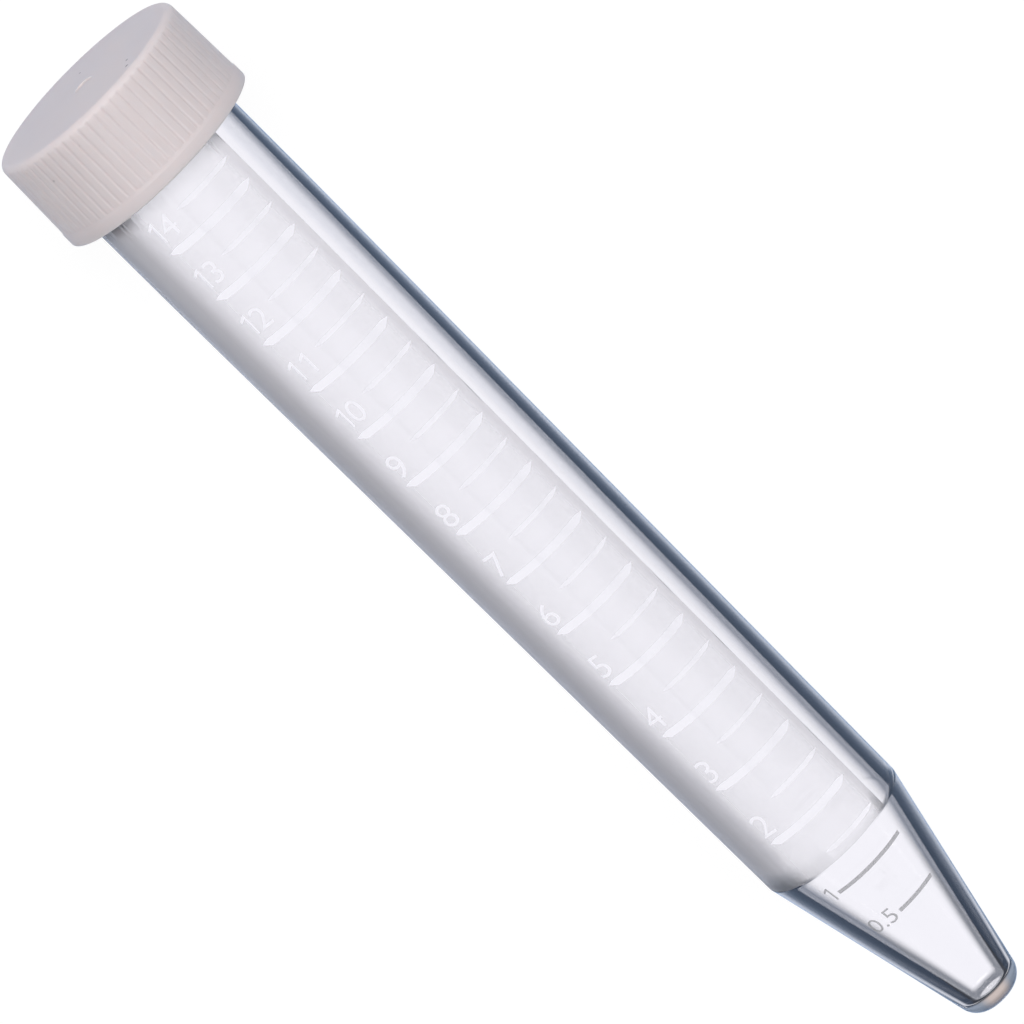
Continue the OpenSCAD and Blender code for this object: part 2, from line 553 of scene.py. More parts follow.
# %% Half section of the tube
tip_centre = (round_centre(tip_r, cone_lean, tip_round), tip_round)
floor_centre = (round_centre(floor_r, bore_lean, floor_round), floor_t + floor_round)
shoulder_turn = (cone_lean + barrel_lean) / 2
shoulder_inset = shoulder_round / math.cos((cone_lean - barrel_lean) / 2)
shoulder_centre = (shoulder_r - shoulder_inset * math.cos(shoulder_turn),
                   cone_h + shoulder_inset * math.sin(shoulder_turn))
QUARTER = math.pi / 2

tube_section = supported(
    [(0, 0)]
    + arc(tip_centre, tip_round, -QUARTER, -cone_lean)
    + arc(shoulder_centre, shoulder_round, -cone_lean, -barrel_lean)
    + [(collar_r, collar_z), (collar_r, neck_z), (neck_r, neck_z)]
    + arc((neck_r - rim_round, rim_z - rim_round), rim_round, 0, QUARTER)
    + arc((mouth_r + rim_round, rim_z - rim_round), rim_round, QUARTER, 2 * QUARTER)
    + [(mouth_r, seat_z), (bore_r, cone_h)]
    + arc(floor_centre, floor_round, -bore_lean, -QUARTER)
    + [(0, floor_t)])
tube_wall = turn("tube_wall", tube_section, 240)
print("tube section has", len(tube_section), "points")

# %% [markdown]
# The neck carries a raised screw thread, a rounded ridge that winds up around it. It is made as a
# helix by the Screw modifier, its two ends are drawn down into the wall so that it fades out, and
# it is joined to the tube as one body.

# %% Threads
THREAD_PITCH = 3.0
THREAD_STEPS = 96  # sections in one turn
THREAD_FADE = 12  # sections over which an end sinks into the wall
SINK = 0.12  # how far a ridge reaches into the wall that it stands on


def thread_ridge(name, root_r, crest_r, first_level, turns, width):
    """A ridge between two radii, either of which may be the larger, winding up from a level."""
    inwards = crest_r < root_r
    buried_r = root_r + SINK if inwards else root_r - SINK
    crest_half = width * 0.2
    section = [(buried_r, -width / 2), (root_r, -width / 2),
               (crest_r, -crest_half), (crest_r, crest_half),
               (root_r, width / 2), (buried_r, width / 2),
               (buried_r, -width / 2)]
    ridge = draw_chain(name, section, closed=True)
    steps = round(THREAD_STEPS * turns)
    apply_modifier(ridge, "SCREW", axis="Z", angle=math.tau * turns,
                   screw_offset=THREAD_PITCH * turns, steps=steps, render_steps=steps,
                   use_merge_vertices=False)
    edit(ridge)
    fill_ends()
    bpy.ops.mesh.normals_make_consistent(inside=False)
    leave_edit()
    for i in range(THREAD_FADE):
        sink_section(ridge, i, (root_r + buried_r) / 2, (i + 0.5) / THREAD_FADE, width)
        sink_section(ridge, steps - i, (root_r + buried_r) / 2, (i + 0.5) / THREAD_FADE, width)
    ridge.location.z = first_level
    apply_place(ridge)
    return ridge


def sink_section(ridge, index, sunk_r, share, width):
    """Shrinks one section of the ridge towards a radius inside the wall."""
    turned = index / THREAD_STEPS
    level = THREAD_PITCH * turned
    across = Vector((-math.sin(math.tau * turned), math.cos(math.tau * turned), 0))
    along = Vector((math.cos(math.tau * turned), math.sin(math.tau * turned), 0))
    edit(ridge)
    select_where(ridge, lambda place: abs(place.dot(across)) < 0.02 and place.dot(along) > 0
                 and abs(place.z - level) < width)
    size = share * share * (3 - 2 * share)
    bpy.ops.transform.resize(value=(size, size, 1), center_override=along * sunk_r)
    leave_edit()


# %% The tube with its thread
NECK_THREAD_LEVEL = 111.9
neck_thread = thread_ridge("neck_thread", neck_r, neck_r + 0.85, NECK_THREAD_LEVEL, 1.6, 1.6)
combine(tube_wall, neck_thread, "UNION")
finish_piece(tube_wall, "tube_body", clear_plastic)
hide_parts("tube")

# %% [markdown]
# ## The white print panel
# Half of the barrel carries a white printed panel, and the scale's marks and numerals are bare
# plastic left inside it. The ink is modelled as a skin a few hundredths of a millimetre thick that
# follows the barrel, because windows cut in a real skin show the clear wall and the bore behind
# it from any side. Angles round the tube are measured from the side that faces up.

# %% The panel's skin
INK_LOW = 0.012  # the ink's two faces, measured out from the plastic
INK_HIGH = 0.035
PANEL_FIRST = math.radians(-134)
PANEL_LAST = math.radians(38.3)
PANEL_BOTTOM = 22.95
PANEL_TOP = neck_z - 0.1
PANEL_ROW = 2.5  # height of one row of the panel's faces
SKIN_STEP = 1.25  # turn of one column of a skin's faces, in degrees


def barrel_radius(level):
    fall = max(0, collar_z - level) / (collar_z - cone_h)
    return collar_r - barrel_taper * fall


def rows(low, high):
    """Evenly spaced levels from low to high, about one row apart."""
    count = max(1, round((high - low) / PANEL_ROW))
    return [low + (high - low) * i / count for i in range(count + 1)]


def skin(name, levels, radius_at, first, last):
    """A thin closed shell that follows a turned wall between two angles."""
    outer = [(radius_at(z) + INK_HIGH, z) for z in levels]
    inner = [(radius_at(z) + INK_LOW, z) for z in reversed(levels)]
    steps = round(math.degrees(last - first) / SKIN_STEP)
    shell = turn(name, outer + inner + outer[:1], steps, last - first, closed=True)
    shell.rotation_euler.z = first
    apply_place(shell)
    return shell


panel_levels = rows(PANEL_BOTTOM, collar_z) + rows(collar_z, PANEL_TOP)[1:]
print_panel = skin("print_panel", panel_levels, barrel_radius, PANEL_FIRST, PANEL_LAST)
plain_panel = copy_to(print_panel, 0)
print("panel from", PANEL_BOTTOM, "to", round(PANEL_TOP, 2), "mm above the tip")

# %% [markdown]
# ## Where the marks go
# The scale is true: each mark is where the bore's volume reaches its millilitres. The bore is
# three stacked cones, so its volume up to a level is a sum of frustums, and the level for a given
# volume is found by halving the range that holds it.

# %% Levels of the scale
PRINT_DROP = 0.35  # the whole print sits this much lower than the true levels
bore_profile = [(floor_r, floor_t), (bore_r, cone_h), (mouth_r, seat_z), (mouth_r, rim_z)]


def bore_volume(level):
    """Millilitres that the bore holds up to a level."""
    total = 0.0
    for (r0, z0), (r1, z1) in zip(bore_profile, bore_profile[1:]):
        top = min(level, z1)
        if top > z0:
            r_top = r0 + (r1 - r0) * (top - z0) / (z1 - z0)
            total += math.pi * (top - z0) * (r0 * r0 + r0 * r_top + r_top * r_top) / 3
    return total / 1000


def mark_level(millilitres):
    low, high = floor_t, rim_z
    for _ in range(40):
        middle = (low + high) / 2
        if bore_volume(middle) < millilitres:
            low = middle
        else:
            high = middle
    return low - PRINT_DROP


print("marks 1, 5, 10 ml at", [round(mark_level(v), 2) for v in (1, 5, 10)])

# %% [markdown]
# ## Marks and numerals
# A long mark and a short mark are each turned once as a curved bar that passes right through the
# skin, with its ends drawn to a point, and then copied to every level. The numerals are text in
# Blender's own plain font, made a mesh and stood against the barrel.

# %% Curved bars
BAR_STEP = math.radians(1.5)
BAR_POINT = 0.9  # length of the pointed end, in millimetres
BAR_LEAN = 0.35  # how far the points lie towards the bar's upper edge, from its middle


def bar(name, low_r, high_r, first, last, thickness, pointed):
    """A curved bar at level 0 that crosses the wall between two radii, from angle to angle."""
    half = thickness / 2
    section = [(low_r, -half), (high_r, -half), (high_r, half), (low_r, half), (low_r, -half)]
    steps = round((last - first) / BAR_STEP)
    piece = turn(name, section, steps, last - first, closed=True)
    taper = BAR_POINT / high_r
    for i in range(steps + 1):
        angle = (last - first) * i / steps
        share = min(angle, last - first - angle) / taper
        if pointed and share < 1:
            across = Vector((-math.sin(angle), math.cos(angle), 0))
            edit(piece)
            select_where(piece, lambda place: abs(place.dot(across)) < 0.02)
            bpy.ops.transform.resize(value=(1, 1, 0.12 + 0.88 * share),
                                     center_override=(0, 0, BAR_LEAN * half))
            leave_edit()
    piece.rotation_euler.z = first
    apply_place(piece)
    return piece


def join(parts):
    clear_selection()
    for part in parts:
        part.select_set(True)
    bpy.context.view_layer.objects.active = parts[0]
    bpy.ops.object.join()
    return parts[0]


# %% Numerals
DIGIT_HEIGHT_SHARE = 0.69  # a digit's height as a share of the font's size
DIGIT_DEPTH = 1.6  # how deep a numeral's solid is, so that it crosses the wall
DIGIT_THINNING = 0.012  # how far each edge of the font's strokes is moved in
DIGIT_PITCH = 0.64  # from one digit's middle to the next, as a share of their height


def font_text(body, height):
    """Flat text as a solid in the XY plane, about its own middle."""
    clear_selection()
    bpy.ops.object.text_add(location=(0, 0, 0))
    text = bpy.context.object
    text.data.body = body
    text.data.size = height / DIGIT_HEIGHT_SHARE
    text.data.extrude = DIGIT_DEPTH / 2
    text.data.offset = -DIGIT_THINNING
    text.data.resolution_u = 4
    bpy.ops.object.convert(target="MESH")
    bpy.ops.object.origin_set(type="ORIGIN_GEOMETRY", center="BOUNDS")
    edit(text)
    bpy.ops.mesh.select_all(action="SELECT")
    bpy.ops.mesh.remove_doubles(threshold=1e-4)
    leave_edit()
    return text


def flagged_one(height):
    """The digit 1 with a short flag, which the font's own lacks, in the XY plane."""
    stroke = 0.1 * height
    outline = [(0, 0), (stroke, 0), (stroke, height), (0.2 * stroke, height),
               (-0.24 * height, 0.82 * height), (-0.24 * height, 0.7 * height),
               (0, 0.83 * height), (0, 0)]
    one = draw_chain("one", outline, closed=True)
    edit(one)
    bpy.ops.mesh.select_all(action="SELECT")
    bpy.ops.mesh.edge_face_add()
    bpy.ops.mesh.extrude_region_move(TRANSFORM_OT_translate={"value": (0, DIGIT_DEPTH, 0)})
    bpy.ops.mesh.select_all(action="SELECT")
    bpy.ops.mesh.normals_make_consistent(inside=False)
    leave_edit()
    one.rotation_euler.x = -math.pi / 2
    apply_place(one)
    bpy.ops.object.origin_set(type="ORIGIN_GEOMETRY", center="BOUNDS")
    return one


def numeral(body, height, angle, radius, level):
    """A number as a solid that crosses the wall, its top towards the cap."""
    if "1" in body:
        parts = [flagged_one(height) if c == "1" else font_text(c, height) for c in body]
    else:
        parts = [font_text(body, height)]
    for i, part in enumerate(parts):
        part.location = ((i - (len(parts) - 1) / 2) * DIGIT_PITCH * height, 0, 0)
        apply_place(part)
    text = join(parts)
    text.location = (radius * math.cos(angle), radius * math.sin(angle), level)
    text.rotation_euler = (math.pi / 2, 0, math.pi / 2 + angle)
    apply_place(text)
    return text


# %% Windows in the panel
WINDOW_LOW_R, WINDOW_HIGH_R = 7.1, 9.0
MAJORS = range(2, 15)
MINORS = [1.5 + i for i in range(14)]
# for numerals of one digit and of two: height, rise of the foot over the mark, angle of the middle
DIGITS = {1: (2.45, 0.85, math.radians(-32.3)), 2: (2.25, 1.2, math.radians(-30))}

major_bar = bar("major_bar", WINDOW_LOW_R, WINDOW_HIGH_R,
                math.radians(-38), math.radians(32), 0.8, True)
minor_bar = bar("minor_bar", WINDOW_LOW_R, WINDOW_HIGH_R,
                math.radians(-13.5), math.radians(32), 0.45, True)
windows = [copy_to(major_bar, mark_level(v)) for v in MAJORS]
windows += [copy_to(minor_bar, mark_level(v)) for v in MINORS]
for value in MAJORS:
    tall, rise, angle = DIGITS[len(str(value))]
    level = mark_level(value) + rise + tall / 2
    windows.append(numeral(str(value), tall, angle, barrel_radius(level), level))
bpy.data.objects.remove(major_bar)
bpy.data.objects.remove(minor_bar)
panel_windows = join(windows)
combine(print_panel, panel_windows, "DIFFERENCE")
take_shading(print_panel, plain_panel)
print("panel after its windows:", len(print_panel.data.polygons), "faces")

# %% [markdown]
# ## Ink
# The white ink is dense but not perfect: a little of what is behind it shows through, and its
# cover varies softly across the panel. Alpha on the shader gives both, through a ramp across the
# panel, and the grain group's broad waves mottle its colour. Down the panel's left side the ink's
# colour is darker, which is painted shade. The cone's two marks are the same ink, coloured grey as
# painted shade.

# %% Ink materials
def build_ink(name, colour, alpha, roughness):
    material, tree, shader, place = new_material(name)
    shader.inputs["Alpha"].default_value = alpha
    shader.inputs["IOR"].default_value = 1.45
    grain = add_grain(tree, shader, place, 0.08, 0.00002, Wave_Size=0.009, Grain_Size=0.00025,
                      Grain_Share=0.6, Roughness=roughness, Scuff=0.08)
    tint = add_node(tree, "ShaderNodeMix", (-350, 200), data_type="RGBA")
    tint.inputs["A"].default_value = (*[c * 0.975 for c in colour], 1)
    tint.inputs["B"].default_value = (*colour, 1)
    tree.links.new(grain.outputs["Mottle"], tint.inputs["Factor"])
    tree.links.new(tint.outputs["Result"], shader.inputs["Base Color"])
    return material


# across the panel from its left to its right, in millimetres: how much ink lies on it
COVER = [(-8.2, 0.25), (-7.7, 0.4), (-7.2, 0.62), (-6.8, 0.72), (-6.1, 0.66), (-5.6, 0.52),
         (-5.1, 0.4), (-4.7, 0.28), (-4.2, 0.24), (-3.0, 0.18), (-1.5, 0.13), (0.5, 0.12),
         (2.0, 0.14), (3.2, 0.19), (4.0, 0.28), (4.5, 0.46), (4.9, 0.58), (5.3, 0.58)]
# and how far the ink's colour is darkened there: painted shade down the panel's left side
INK_PAINTED_SHADE = [(-8.2, 1.0), (-7.7, 0.92), (-7.2, 0.78), (-6.7, 0.76), (-6.4, 0.82), (-6.0, 0.92),
             (-5.6, 0.98), (-5.1, 1.0)]
UNDERSIDE = (-0.3, -5.6)  # heights from the axis between which the cover fades out below


def across_panel(tree, place, values, y):
    """A colour ramp over the tube's width, from values given in millimetres from its axis."""
    parts = add_node(tree, "ShaderNodeSeparateXYZ", (-1100, y))
    tree.links.new(place, parts.inputs[0])
    across = add_node(tree, "ShaderNodeMapRange", (-900, y))
    across.inputs["From Min"].default_value = values[0][0] * MM
    across.inputs["From Max"].default_value = values[-1][0] * MM
    tree.links.new(parts.outputs["Y"], across.inputs["Value"])
    scale = add_node(tree, "ShaderNodeValToRGB", (-700, y))
    stops = scale.color_ramp.elements
    for i, (out, amount) in enumerate(values):
        share = (out - values[0][0]) / (values[-1][0] - values[0][0])
        stop = stops[0] if i == 0 else stops[-1] if share == 1 else stops.new(share)
        stop.position = share
        stop.color = (amount, amount, amount, 1)
    tree.links.new(across.outputs["Result"], scale.inputs["Fac"])
    return scale.outputs["Color"]


def vary_ink(material):
    """Lets more ink lie towards the panel's long sides, fades it out under the tube, and darkens
    its colour down the left side with painted shade.
    """
    tree = material.node_tree
    shader = tree.nodes["Principled BSDF"]
    place = add_node(tree, "ShaderNodeTexCoord", (-1300, 700)).outputs["Object"]
    height = add_node(tree, "ShaderNodeVectorMath", (-1100, 500), operation="DOT_PRODUCT")
    height.inputs[1].default_value = upwards
    tree.links.new(place, height.inputs[0])
    fade = add_node(tree, "ShaderNodeMapRange", (-900, 500), interpolation_type="SMOOTHSTEP")
    axis_height = upwards.dot(tip_point)
    fade.inputs["From Min"].default_value = axis_height + UNDERSIDE[1] * MM
    fade.inputs["From Max"].default_value = axis_height + UNDERSIDE[0] * MM
    tree.links.new(height.outputs["Value"], fade.inputs["Value"])
    cover = add_node(tree, "ShaderNodeMath", (-400, 650), operation="MULTIPLY")
    tree.links.new(across_panel(tree, place, COVER, 800), cover.inputs[0])
    tree.links.new(fade.outputs["Result"], cover.inputs[1])
    tree.links.new(cover.outputs[0], shader.inputs["Alpha"])
    tint = shader.inputs["Base Color"].links[0].from_socket
    # painted shade: the ink's colour is multiplied darker down the panel's left side
    ink_painted_shade = add_node(tree, "ShaderNodeMix", (-150, 200), data_type="RGBA", blend_type="MULTIPLY")
    ink_painted_shade.inputs["Factor"].default_value = 1.0
    tree.links.new(tint, ink_painted_shade.inputs["A"])
    tree.links.new(across_panel(tree, place, INK_PAINTED_SHADE, 1100), ink_painted_shade.inputs["B"])
    tree.links.new(ink_painted_shade.outputs["Result"], shader.inputs["Base Color"])


white_ink = build_ink("white_ink", (0.86, 0.852, 0.895), COVER[0][1], 0.5)
vary_ink(white_ink)
# the cone's marks are the same white ink; their grey colour is painted shade, as no white backing
# lies behind them
grey_ink = build_ink("grey_ink", (0.5, 0.5, 0.52), 0.5, 0.5)
finish_piece(print_panel, "tube_body", white_ink)

# %% [markdown]
# ## Marks on the cone
# Below the panel the scale goes on as two lines with their values, printed straight on the
# clear cone in the same white ink, which is coloured grey there as painted shade. A skin is turned
# to follow the cone there, and only its overlap with the bars and numerals is kept.

# %% Cone marks
def cone_radius(level):
    return tip_r + (shoulder_r - tip_r) * level / cone_h


CONE_LAST = 34  # degrees at which both of the cone's lines end
CONE_LABEL_HEIGHT = 1.7
CONE_LABEL_RISE = 0.27  # how far a label's middle is above its line


def cone_mark(name, millilitres, first, label, label_angle):
    """One line on the cone with its value beside it."""
    level = mark_level(millilitres)
    radius = cone_radius(level)
    parts = [copy_to(bar("cone_bar", radius - 1.5, radius + 1.5, math.radians(first),
                         math.radians(CONE_LAST), 0.4, False), level)]
    bpy.data.objects.remove(bpy.data.objects["cone_bar"])
    parts.append(numeral(label, CONE_LABEL_HEIGHT, math.radians(label_angle), radius,
                         level + CONE_LABEL_RISE))
    shape = join(parts)
    levels = [level - 1.2, level, level + 1.2]
    mark = skin(name, levels, cone_radius, math.radians(-48), math.radians(44))
    combine(mark, shape, "INTERSECT")
    finish_piece(mark, "tube_body", grey_ink)


cone_mark("cone_mark_1", 1, -30, "1", -36.5)
cone_mark("cone_mark_half", 0.5, -8.5, "0.5", -26)

# %% [markdown]
# ## The cap
# The cap's side repeats 68 times: a broad rib and a narrow shallow groove, again and again. So one
# sector is spun through that small angle in ten steps, its groove is pushed in, and an Array turns
# it round the axis 68 times and welds the copies.

# %% One sector of the cap
RIB_COUNT = 68
SECTOR = math.tau / RIB_COUNT
SECTOR_STEPS = 10
GROOVE_FOOT = band_z + 0.15
GROOVE_DEPTHS = {-1: 0.045, 0: 0.07, 1: 0.045}  # by step away from the groove's middle
GROOVE_TURN = math.radians(0.95)  # turns the grooves to where they face the view

top_round_centre = (round_centre(rib_top_r, rib_lean, top_round), OVERALL_L - top_round)
edge_round_centre = (band_r - edge_round, skirt_z + edge_round)
rib_fall = rib_taper / (OVERALL_L - band_z)


def rib_radius(level):
    return rib_low_r - rib_fall * (level - band_z)


cap_outside = ([(0, OVERALL_L - gate_depth), (gate_r - 0.08, OVERALL_L - gate_depth),
                (gate_r, OVERALL_L - gate_depth + 0.08), (gate_r, OVERALL_L),
                (gate_r + 0.15, OVERALL_L)]
               + arc(top_round_centre, top_round, QUARTER, rib_lean)
               + [(rib_radius(GROOVE_FOOT + 0.05), GROOVE_FOOT + 0.05),
                  (rib_radius(GROOVE_FOOT), GROOVE_FOOT), (rib_low_r + 0.01, band_z),
                  (band_r - 0.01, band_z - 0.18), (band_r, band_z - 0.28)]
               + arc(edge_round_centre, edge_round, 0, -QUARTER))
cap_inside = [(skirt_r + skirt_lead, skirt_z), (skirt_r, skirt_z + skirt_lead),
              (skirt_r, plate_z), (plug_r, plate_z), (plug_r, plug_z + plug_lead),
              (plug_r - plug_nose, plug_z), (plug_r - plug_t, plug_z),
              (plug_r - plug_t, plate_z), (0, plate_z)]
cap_shell = turn("cap_shell", cap_outside + cap_inside, SECTOR_STEPS, SECTOR)
print("one sector has", len(cap_shell.data.polygons), "faces")

# %% The groove and the turn of 68
groove_levels = sorted({round(z, 4) for r, z in cap_outside
                        if z > GROOVE_FOOT + 0.01 and r > rib_top_r - top_round})
for step, depth in GROOVE_DEPTHS.items():
    angle = SECTOR * (SECTOR_STEPS / 2 + step) / SECTOR_STEPS
    outwards = Vector((math.cos(angle), math.sin(angle), 0))
    across = Vector((-math.sin(angle), math.cos(angle), 0))
    for level in groove_levels:
        radius = max(r for r, z in cap_outside if abs(z - level) < 1e-3)
        push = radius - (rib_radius(level) - depth)
        if push > 0:
            edit(cap_shell)
            select_where(cap_shell, lambda place: abs(place.dot(across)) < 0.01
                         and abs(place.z - level) < 1e-3
                         and abs(place.dot(outwards) - radius) < 1e-2)
            bpy.ops.transform.translate(value=-outwards * push)
            leave_edit()

clear_selection()
bpy.ops.object.empty_add(location=(0, 0, 0), rotation=(0, 0, SECTOR))
next_rib = bpy.context.object
apply_modifier(cap_shell, "ARRAY", count=RIB_COUNT, use_relative_offset=False,
               use_object_offset=True, offset_object=next_rib, use_merge_vertices=True,
               use_merge_vertices_cap=True, merge_threshold=1e-3)
bpy.data.objects.remove(next_rib)
edit(cap_shell)
bpy.ops.mesh.select_all(action="SELECT")
bpy.ops.mesh.remove_doubles(threshold=1e-3)
bpy.ops.mesh.normals_make_consistent(inside=False)
leave_edit()
cap_shell.rotation_euler.z = GROOVE_TURN
apply_place(cap_shell)
print("cap before its thread:", len(cap_shell.data.polygons), "faces")

# %% The cap's thread
cap_thread = thread_ridge("cap_thread", skirt_r, skirt_r - 0.75,
                          NECK_THREAD_LEVEL + THREAD_PITCH / 2, 1.2, 1.4)
combine(cap_shell, cap_thread, "UNION")

# %% [markdown]
# ## Cap plastic
# The cap is soft, pale polyethylene. It scatters a little light under its surface, so the fine
# ribs look gentle, and its satin finish has a broad, dim highlight.

# %% Cap plastic
# level, angle and distance from the axis in millimetres and degrees, and the size of the speck
CAP_SPECKS = [(120.0, 34.6, 7.34, 0.2), (120.0, 25.9, 8.7, 0.24), (120.0, 174.0, 4.9, 0.15),
              (117.2, -48.0, 10.2, 0.27), (118.3, -22.7, 10.2, 0.13), (116.8, -15.6, 10.2, 0.13)]


def spot_place(level, angle, distance):
    """The place in the laid-down piece of a spot given on the upright one."""
    turned = math.radians(angle)
    out = upwards * math.cos(turned) + sideways * math.sin(turned)
    return tip_point + (to_cap * level + out * distance) * MM


def build_cap_plastic():
    material, tree, shader, place = new_material("cap_plastic")
    shader.inputs["Subsurface Weight"].default_value = 0.85
    shader.inputs["Subsurface Radius"].default_value = (1.0, 0.88, 0.82)
    shader.inputs["Subsurface Scale"].default_value = 0.0016
    shader.inputs["IOR"].default_value = 1.5
    grain = add_grain(tree, shader, place, 0.25, 0.00003, Wave_Size=0.007, Grain_Size=0.00018,
                      Grain_Share=0.7, Roughness=0.48, Scuff=0.12)
    tint = add_node(tree, "ShaderNodeMix", (-350, 200), data_type="RGBA")
    tint.inputs["A"].default_value = (0.656, 0.606, 0.612, 1)
    tint.inputs["B"].default_value = (0.716, 0.662, 0.668, 1)
    tree.links.new(grain.outputs["Mottle"], tint.inputs["Factor"])
    mask = None
    for i, (level, angle, distance, size) in enumerate(CAP_SPECKS):
        speck = add_node(tree, "ShaderNodeGroup", (-800, 300 + 200 * i), node_tree=speck_group)
        tree.links.new(place, speck.inputs["Vector"])
        speck.inputs["Centre"].default_value = spot_place(level, angle, distance)
        speck.inputs["Size"].default_value = size * MM
        if mask:
            tree.links.new(mask, speck.inputs["Mask"])
        mask = speck.outputs["Mask"]
    dusty = add_node(tree, "ShaderNodeMix", (-150, 200), data_type="RGBA")
    dusty.inputs["B"].default_value = (0.13, 0.11, 0.12, 1)
    tree.links.new(mask, dusty.inputs["Factor"])
    tree.links.new(tint.outputs["Result"], dusty.inputs["A"])
    tree.links.new(dusty.outputs["Result"], shader.inputs["Base Color"])
    return material


cap_plastic = build_cap_plastic()
finish_piece(cap_shell, "cap_body", cap_plastic)
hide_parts("cap")

# %% [markdown]
# ## The table and the light
# The table is a pale floor at the level that the tube lies on. The camera sees it almost white,
# with only a breath of shadow. Light that has come through the tube passes the floor and meets the
# world instead, which is where the dark bands of clear plastic get their tone: bright straight
# below, dark towards the sides.

# %% Table
def build_table():
    material, tree, shader, place = new_material("table")
    tree.nodes.remove(shader)
    path = add_node(tree, "ShaderNodeLightPath", (-900, 300))
    paper = add_node(tree, "ShaderNodeBsdfDiffuse", (-300, 0))
    paper.inputs["Color"].default_value = (0.77, 0.79, 0.82, 1)
    thin = add_node(tree, "ShaderNodeBsdfDiffuse", (-300, -150))
    thin.inputs["Color"].default_value = (0.12, 0.12, 0.12, 1)
    glow = add_node(tree, "ShaderNodeEmission", (-300, -300))
    glow.inputs["Strength"].default_value = 0.92
    seen = add_node(tree, "ShaderNodeAddShader", (0, -200))
    tree.links.new(thin.outputs["BSDF"], seen.inputs[0])
    tree.links.new(glow.outputs["Emission"], seen.inputs[1])
    white = add_node(tree, "ShaderNodeEmission", (0, -400))
    white.inputs["Color"].default_value = (0.45, 0.60, 0.86, 1)
    clear = add_node(tree, "ShaderNodeBsdfTransparent", (300, -400))

    def choose(switch, first, second, x):
        mix = add_node(tree, "ShaderNodeMixShader", (x, 0))
        tree.links.new(path.outputs[switch], mix.inputs["Fac"])
        tree.links.new(first, mix.inputs[1])
        tree.links.new(second, mix.inputs[2])
        return mix.outputs["Shader"]

    look = choose("Is Camera Ray", paper.outputs["BSDF"], seen.outputs["Shader"], 250)
    look = choose("Is Glossy Ray", look, white.outputs["Emission"], 450)
    look = choose("Is Transmission Ray", look, clear.outputs["BSDF"], 650)
    tree.links.new(look, tree.nodes["Material Output"].inputs["Surface"])
    return material


clear_selection()
bpy.ops.mesh.primitive_plane_add(size=4, location=(0, 0, cad_low.z))
table = bpy.context.object
table.name = "table"
table.data.materials.append(build_table())

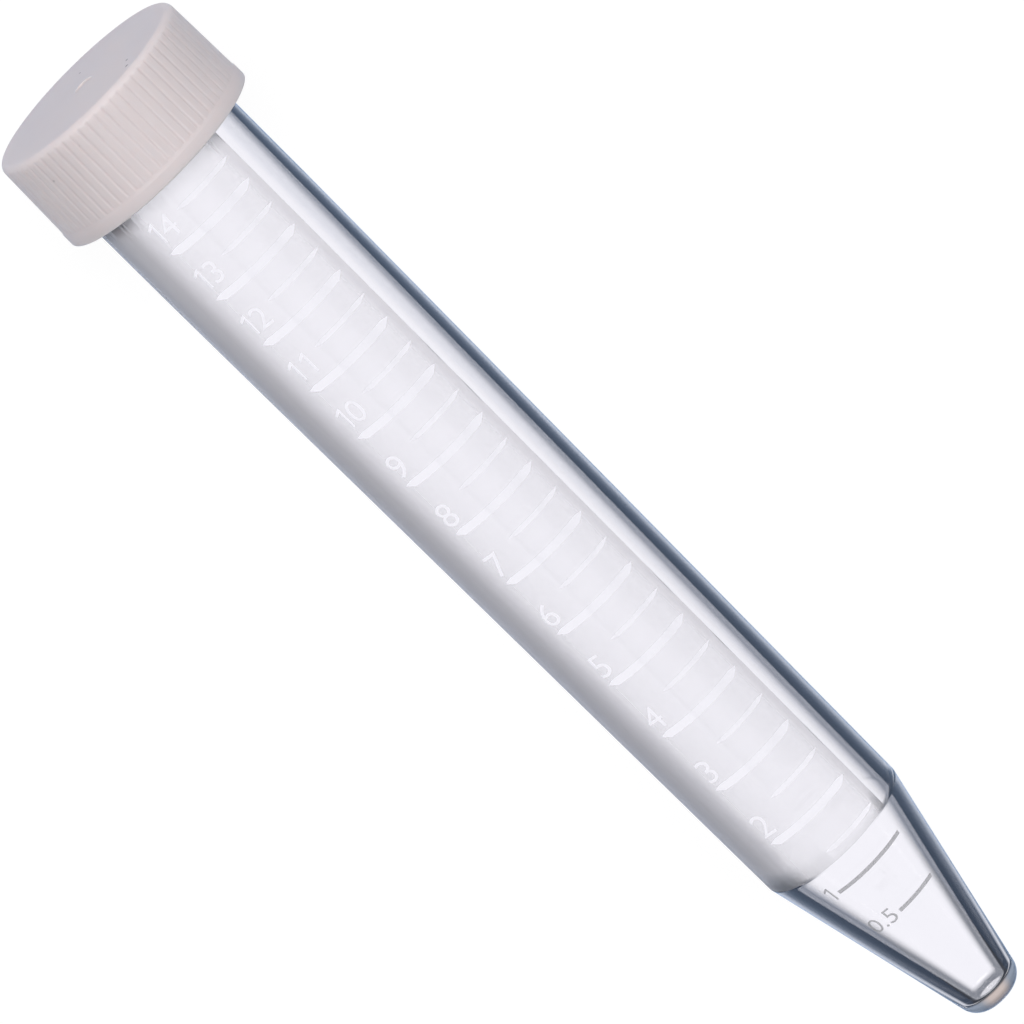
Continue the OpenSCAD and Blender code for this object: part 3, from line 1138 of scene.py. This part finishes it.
# %% World
def build_world():
    world = bpy.data.worlds.new("studio")
    bpy.context.scene.world = world
    world.use_nodes = True
    tree = world.node_tree
    link = tree.links.new
    background = tree.nodes["Background"]
    path = add_node(tree, "ShaderNodeLightPath", (-1500, 600))
    place = add_node(tree, "ShaderNodeTexCoord", (-1500, 0))

    below = add_node(tree, "ShaderNodeVectorMath", (-1300, 0), operation="DOT_PRODUCT")
    link(place.outputs["Generated"], below.inputs[0])
    below.inputs[1].default_value = -view_back
    off_axis = add_node(tree, "ShaderNodeMath", (-1120, 0), operation="ARCCOSINE")
    link(below.outputs["Value"], off_axis.inputs[0])
    height = add_node(tree, "ShaderNodeSeparateXYZ", (-1300, -250))
    link(place.outputs["Generated"], height.inputs[0])

    def ramp(socket, low, high, at_low, at_high, y, kind="SMOOTHSTEP"):
        node = add_node(tree, "ShaderNodeMapRange", (-900, y), interpolation_type=kind)
        for label, value in (("From Min", low), ("From Max", high),
                             ("To Min", at_low), ("To Max", at_high)):
            node.inputs[label].default_value = value
        link(socket, node.inputs["Value"])
        return node.outputs["Result"]

    def blend(factor, first, second, x, y):
        mix = add_node(tree, "ShaderNodeMix", (x, y), data_type="RGBA")
        if isinstance(factor, float):
            mix.inputs["Factor"].default_value = factor
        else:
            link(factor, mix.inputs["Factor"])
        for label, value in (("A", first), ("B", second)):
            if isinstance(value, tuple):
                mix.inputs[label].default_value = (*value, 1)
            else:
                link(value, mix.inputs[label])
        return mix.outputs["Result"]

    angle = off_axis.outputs[0]
    level = height.outputs["Z"]
    # through both walls and the bore: bright, with a dimmer ring off to the side
    inner = ramp(angle, math.radians(11.5), math.radians(24), 0.0, 1.0, 200)
    raised = ramp(level, -0.5, -0.2, 1.0, 0.0, 50)
    deep = ramp(angle, math.radians(38), math.radians(50), 0.0, 1.0, 350)
    ring = add_node(tree, "ShaderNodeMath", (-700, 130), operation="MULTIPLY")
    link(inner, ring.inputs[0])
    link(raised, ring.inputs[1])
    aside = blend(deep, (0.2, 0.21, 0.245), (0.05, 0.06, 0.09), -650, 300)
    through = blend(ring.outputs[0], (0.99, 0.97, 1.01), aside, -450, 200)
    # through one wall only, turned back inside it: dark, but bright straight below
    near = ramp(angle, 0.0, math.radians(21), 0.0, 1.0, -200, "LINEAR")
    horizon = ramp(level, -0.35, 0.0, 0.0, 1.0, -350)
    dark = blend(horizon, (0.015, 0.018, 0.03), (0.45, 0.46, 0.48), -650, -300)
    straight = blend(near, (0.87, 0.86, 0.9), dark, -450, -150)
    # back towards the cap, off the flat tip: a pale warm card
    capward = add_node(tree, "ShaderNodeVectorMath", (-1300, -550), operation="DOT_PRODUCT")
    link(place.outputs["Generated"], capward.inputs[0])
    capward.inputs[1].default_value = to_cap
    nearer = ramp(capward.outputs["Value"], 0.05, 0.2, 0.0, 1.0, -550)
    further = ramp(capward.outputs["Value"], 0.3, 0.42, 1.0, 0.15, -700)
    card = add_node(tree, "ShaderNodeMath", (-700, -600), operation="MULTIPLY")
    link(nearer, card.inputs[0])
    link(further, card.inputs[1])
    across = add_node(tree, "ShaderNodeVectorMath", (-1300, -850), operation="DOT_PRODUCT")
    link(place.outputs["Generated"], across.inputs[0])
    across.inputs[1].default_value = sideways
    either_side = add_node(tree, "ShaderNodeMath", (-1120, -850), operation="ABSOLUTE")
    link(across.outputs["Value"], either_side.inputs[0])
    outer = ramp(either_side.outputs[0], 0.15, 0.5, 0.0, 1.0, -850)
    card_colour = blend(outer, (0.66, 0.56, 0.52), (0.3, 0.34, 0.41), -650, -800)
    turned = blend(card.outputs[0], straight, card_colour, -300, -300)

    walls = add_node(tree, "ShaderNodeMath", (-900, 600), operation="GREATER_THAN")
    link(path.outputs["Transmission Depth"], walls.inputs[0])
    walls.inputs[1].default_value = 2.5
    seen_through = blend(walls.outputs[0], turned, through, -200, 100)
    colour = blend(path.outputs["Is Glossy Ray"], (0.28, 0.295, 0.305), (0.47, 0.51, 0.56), 0, 300)
    colour = blend(path.outputs["Is Camera Ray"], colour, (1.0, 1.0, 1.0), 200, 300)
    colour = blend(path.outputs["Is Transmission Ray"], colour, seen_through, 400, 200)
    background.location = (650, 200)
    link(colour, background.inputs["Color"])


build_world()

# %% Colour as it is written
bpy.context.scene.view_settings.view_transform = "Standard"

# %% Lamps
KEY_DISTANCE = 0.5
KEY_WATTS = 2.8
WARM = (1.0, 0.955, 0.95)


def area_lamp(name, direction, distance, width, length, watts):
    """A soft lamp, long across the tube, that faces the tube's middle from a direction."""
    data = bpy.data.lights.new(name, "AREA")
    data.shape = "RECTANGLE"
    data.size = length
    data.size_y = width
    data.energy = watts
    data.color = WARM
    lamp = bpy.data.objects.new(name, data)
    bpy.context.scene.collection.objects.link(lamp)
    towards = Vector(direction).normalized()
    across = (sideways - towards * sideways.dot(towards)).normalized()
    turned = Matrix((across, towards.cross(across), towards)).transposed().to_4x4()
    lamp.matrix_world = Matrix.Translation(aim_point + towards * distance) @ turned
    print(name, "at", [round(v, 3) for v in lamp.location])
    return lamp


key_lamp = area_lamp("key_lamp", (-0.47, 0.04, 0.88), KEY_DISTANCE, 0.25, 0.95, KEY_WATTS)
